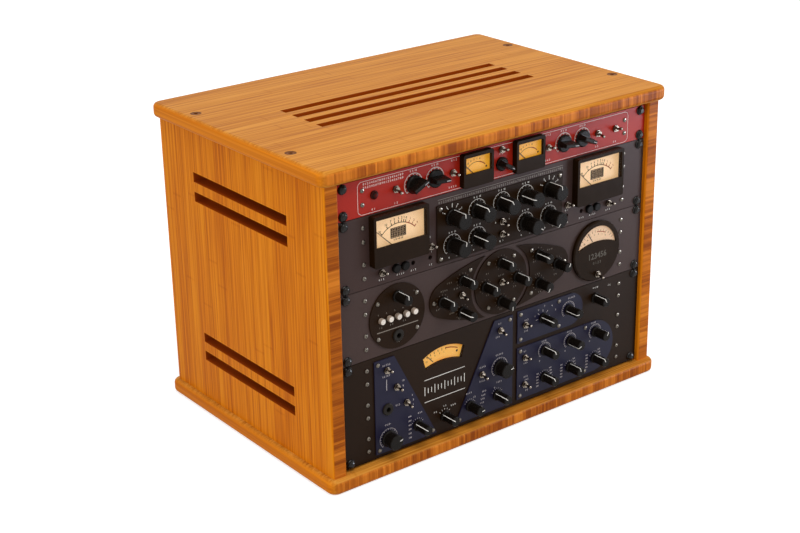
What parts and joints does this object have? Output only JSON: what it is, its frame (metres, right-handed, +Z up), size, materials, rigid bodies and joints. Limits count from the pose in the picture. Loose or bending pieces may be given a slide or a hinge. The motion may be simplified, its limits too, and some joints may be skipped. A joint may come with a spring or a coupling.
{
  "type": "rack compressor",
  "caption": "Stereo rack compressor in a bamboo desktop rack with a limiter, channel strip and voice processor; knobs turn, toggles flip, buttons press and meter needles swing.",
  "frame": {"origin": "centre of the base board's underside", "axes": "+Z up, the front panels face -Y, +X to the right seen from the front"},
  "size_m": [0.5372, 0.3837, 0.3996],
  "materials": {
    "bamboo": "clear satin lacquer on caramel bamboo",
    "rail_steel": "black zinc",
    "black_screw": "black oxide",
    "red_panel": "red anodised, fine brushed",
    "slate_panel": "slate blue paint",
    "grey_panel": "slate grey paint",
    "black_panel": "black anodised",
    "black_plate": "black satin paint",
    "blue_plate": "dark blue satin paint",
    "chassis_sheet": "dark grey powder coat",
    "knob_black": "polished black",
    "toggle_chrome": "bright chrome",
    "needle": "black paint",
    "button_white": "white satin",
    "lamp_red": "clear red jewel",
    "cap_black": "black",
    "meter_black": "polished black",
    "dial_cream": "printed cream dial, lit from behind",
    "meter_glass": "clear",
    "panel_screw": "bright zinc",
    "socket_black": "black",
    "pot_metal": "plain steel cans",
    "circuit": "green solder mask",
    "valve_glass": "clear",
    "transformer": "varnished core"
  },
  "bodies": {
    "rack": {"cabinet_base": "bamboo", "cabinet_top": "bamboo", "left_side": "bamboo", "right_side": "bamboo", "rack_rails": "rail_steel", "cabinet_screws": "black_screw", "rack_screws": "black_screw", "limiter_panel": "red_panel", "limiter_chassis": "chassis_sheet", "pilot_lamp": "lamp_red", "compressor_panel": "slate_panel", "compressor_plate": "black_plate", "compressor_chassis": "chassis_sheet", "compressor_cover": "chassis_sheet", "compressor_pots": "pot_metal", "compressor_board": "circuit", "compressor_valves": "valve_glass", "compressor_transformers": "transformer", "trimmer_caps": "cap_black", "strip_panel": "grey_panel", "strip_plates": "black_plate", "strip_chassis": "chassis_sheet", "voice_panel": "black_panel", "voice_plates": "blue_plate", "voice_chassis": "chassis_sheet", "channel_knobs": "knob_black", "toggle_switches": "toggle_chrome", "meter_cases": "meter_black", "meter_dials": "dial_cream", "meter_glasses": "meter_glass", "panel_screws": "panel_screw", "sockets": "socket_black", "mains_inlets": "socket_black"},
    "recovery_knob_left": {"recovery_knob_left": "knob_black"},
    "output_knob_left": {"output_knob_left": "knob_black"},
    "input_knob": {"input_knob": "knob_black"},
    "output_knob_right": {"output_knob_right": "knob_black"},
    "recovery_knob_right": {"recovery_knob_right": "knob_black"},
    "threshold_knob_left": {"threshold_knob_left": "knob_black"},
    "attack_knob_left": {"attack_knob_left": "knob_black"},
    "attack_knob_right": {"attack_knob_right": "knob_black"},
    "threshold_knob_right": {"threshold_knob_right": "knob_black"},
    "limiter_gain_knob_left": {"limiter_gain_knob_left": "knob_black"},
    "limiter_reduction_knob_left": {"limiter_reduction_knob_left": "knob_black"},
    "limiter_link_knob": {"limiter_link_knob": "knob_black"},
    "limiter_reduction_knob_right": {"limiter_reduction_knob_right": "knob_black"},
    "limiter_gain_knob_right": {"limiter_gain_knob_right": "knob_black"},
    "meter_toggle_left": {"meter_toggle_left": "toggle_chrome"},
    "bypass_toggle_left": {"bypass_toggle_left": "toggle_chrome"},
    "link_toggle": {"link_toggle": "toggle_chrome"},
    "power_toggle": {"power_toggle": "toggle_chrome"},
    "bypass_toggle_right": {"bypass_toggle_right": "toggle_chrome"},
    "meter_toggle_right": {"meter_toggle_right": "toggle_chrome"},
    "needle_left": {"needle_left": "needle"},
    "needle_right": {"needle_right": "needle"},
    "strip_button_1": {"strip_button_1": "button_white"},
    "strip_button_2": {"strip_button_2": "button_white"},
    "strip_button_3": {"strip_button_3": "button_white"},
    "strip_button_4": {"strip_button_4": "button_white"},
    "strip_button_5": {"strip_button_5": "button_white"}
  },
  "joints": [
    {"name": "recovery_knob_left_turn", "type": "hinge", "parent": "rack", "child": "recovery_knob_left", "pos_m": [-0.0768, -0.1718, 0.3017], "axis": [0, 1, 0], "range_deg": [-60, 60]},
    {"name": "output_knob_left_turn", "type": "hinge", "parent": "rack", "child": "output_knob_left", "pos_m": [-0.0384, -0.1718, 0.3017], "axis": [0, 1, 0], "range_deg": [-124, 176]},
    {"name": "input_knob_turn", "type": "hinge", "parent": "rack", "child": "input_knob", "pos_m": [0, -0.1718, 0.3017], "axis": [0, 1, 0], "range_deg": [-122, 178]},
    {"name": "output_knob_right_turn", "type": "hinge", "parent": "rack", "child": "output_knob_right", "pos_m": [0.0384, -0.1718, 0.3017], "axis": [0, 1, 0], "range_deg": [-76, 224]},
    {"name": "recovery_knob_right_turn", "type": "hinge", "parent": "rack", "child": "recovery_knob_right", "pos_m": [0.0768, -0.1718, 0.3017], "axis": [0, 1, 0], "range_deg": [-52, 68]},
    {"name": "threshold_knob_left_turn", "type": "hinge", "parent": "rack", "child": "threshold_knob_left", "pos_m": [-0.0768, -0.1718, 0.2667], "axis": [0, 1, 0], "range_deg": [-160, 140]},
    {"name": "attack_knob_left_turn", "type": "hinge", "parent": "rack", "child": "attack_knob_left", "pos_m": [-0.0384, -0.1718, 0.2667], "axis": [0, 1, 0], "range_deg": [-92, 208]},
    {"name": "attack_knob_right_turn", "type": "hinge", "parent": "rack", "child": "attack_knob_right", "pos_m": [0.0384, -0.1718, 0.2667], "axis": [0, 1, 0], "range_deg": [-270, 30]},
    {"name": "threshold_knob_right_turn", "type": "hinge", "parent": "rack", "child": "threshold_knob_right", "pos_m": [0.0768, -0.1718, 0.2667], "axis": [0, 1, 0], "range_deg": [-5, 295]},
    {"name": "limiter_gain_knob_left_turn", "type": "hinge", "parent": "rack", "child": "limiter_gain_knob_left", "pos_m": [-0.1325, -0.1718, 0.35437], "axis": [0, 1, 0], "range_deg": [-214, 86]},
    {"name": "limiter_reduction_knob_left_turn", "type": "hinge", "parent": "rack", "child": "limiter_reduction_knob_left", "pos_m": [-0.101, -0.1718, 0.35437], "axis": [0, 1, 0], "range_deg": [-245, 55]},
    {"name": "limiter_link_knob_turn", "type": "hinge", "parent": "rack", "child": "limiter_link_knob", "pos_m": [0, -0.1718, 0.34987], "axis": [0, 1, 0], "range_deg": [-270, 30]},
    {"name": "limiter_reduction_knob_right_turn", "type": "hinge", "parent": "rack", "child": "limiter_reduction_knob_right", "pos_m": [0.101, -0.1718, 0.35437], "axis": [0, 1, 0], "range_deg": [-248, 52]},
    {"name": "limiter_gain_knob_right_turn", "type": "hinge", "parent": "rack", "child": "limiter_gain_knob_right", "pos_m": [0.1325, -0.1718, 0.35437], "axis": [0, 1, 0], "range_deg": [-265, 35]},
    {"name": "meter_toggle_left_flip", "type": "hinge", "parent": "rack", "child": "meter_toggle_left", "pos_m": [-0.181, -0.1744, 0.2582], "axis": [1, 0, 0], "range_deg": [0, 26]},
    {"name": "bypass_toggle_left_flip", "type": "hinge", "parent": "rack", "child": "bypass_toggle_left", "pos_m": [-0.109, -0.1744, 0.2727], "axis": [1, 0, 0], "range_deg": [0, 26]},
    {"name": "link_toggle_flip", "type": "hinge", "parent": "rack", "child": "link_toggle", "pos_m": [0, -0.176, 0.2777], "axis": [1, 0, 0], "range_deg": [-26, 0]},
    {"name": "power_toggle_flip", "type": "hinge", "parent": "rack", "child": "power_toggle", "pos_m": [0, -0.176, 0.2617], "axis": [1, 0, 0], "range_deg": [0, 26]},
    {"name": "bypass_toggle_right_flip", "type": "hinge", "parent": "rack", "child": "bypass_toggle_right", "pos_m": [0.109, -0.1744, 0.2727], "axis": [1, 0, 0], "range_deg": [0, 26]},
    {"name": "meter_toggle_right_flip", "type": "hinge", "parent": "rack", "child": "meter_toggle_right", "pos_m": [0.181, -0.1744, 0.2582], "axis": [1, 0, 0], "range_deg": [0, 26]},
    {"name": "needle_left_swing", "type": "hinge", "parent": "rack", "child": "needle_left", "pos_m": [-0.1575, -0.1758, 0.2807], "axis": [0, 1, 0], "range_deg": [0, 94], "stiffness_Nm_per_rad": 0.0005, "springref_deg": -5.73},
    {"name": "needle_right_swing", "type": "hinge", "parent": "rack", "child": "needle_right", "pos_m": [0.1575, -0.1758, 0.2807], "axis": [0, 1, 0], "range_deg": [0, 94], "stiffness_Nm_per_rad": 0.0005, "springref_deg": -5.73},
    {"name": "strip_button_1_press", "type": "slide", "parent": "rack", "child": "strip_button_1", "axis": [0, 1, 0], "range_m": [0, 0.002], "stiffness_N_per_m": 300, "springref_m": -0.001},
    {"name": "strip_button_2_press", "type": "slide", "parent": "rack", "child": "strip_button_2", "axis": [0, 1, 0], "range_m": [0, 0.002], "stiffness_N_per_m": 300, "springref_m": -0.001},
    {"name": "strip_button_3_press", "type": "slide", "parent": "rack", "child": "strip_button_3", "axis": [0, 1, 0], "range_m": [0, 0.002], "stiffness_N_per_m": 300, "springref_m": -0.001},
    {"name": "strip_button_4_press", "type": "slide", "parent": "rack", "child": "strip_button_4", "axis": [0, 1, 0], "range_m": [0, 0.002], "stiffness_N_per_m": 300, "springref_m": -0.001},
    {"name": "strip_button_5_press", "type": "slide", "parent": "rack", "child": "strip_button_5", "axis": [0, 1, 0], "range_m": [0, 0.002], "stiffness_N_per_m": 300, "springref_m": -0.001}
  ]
}
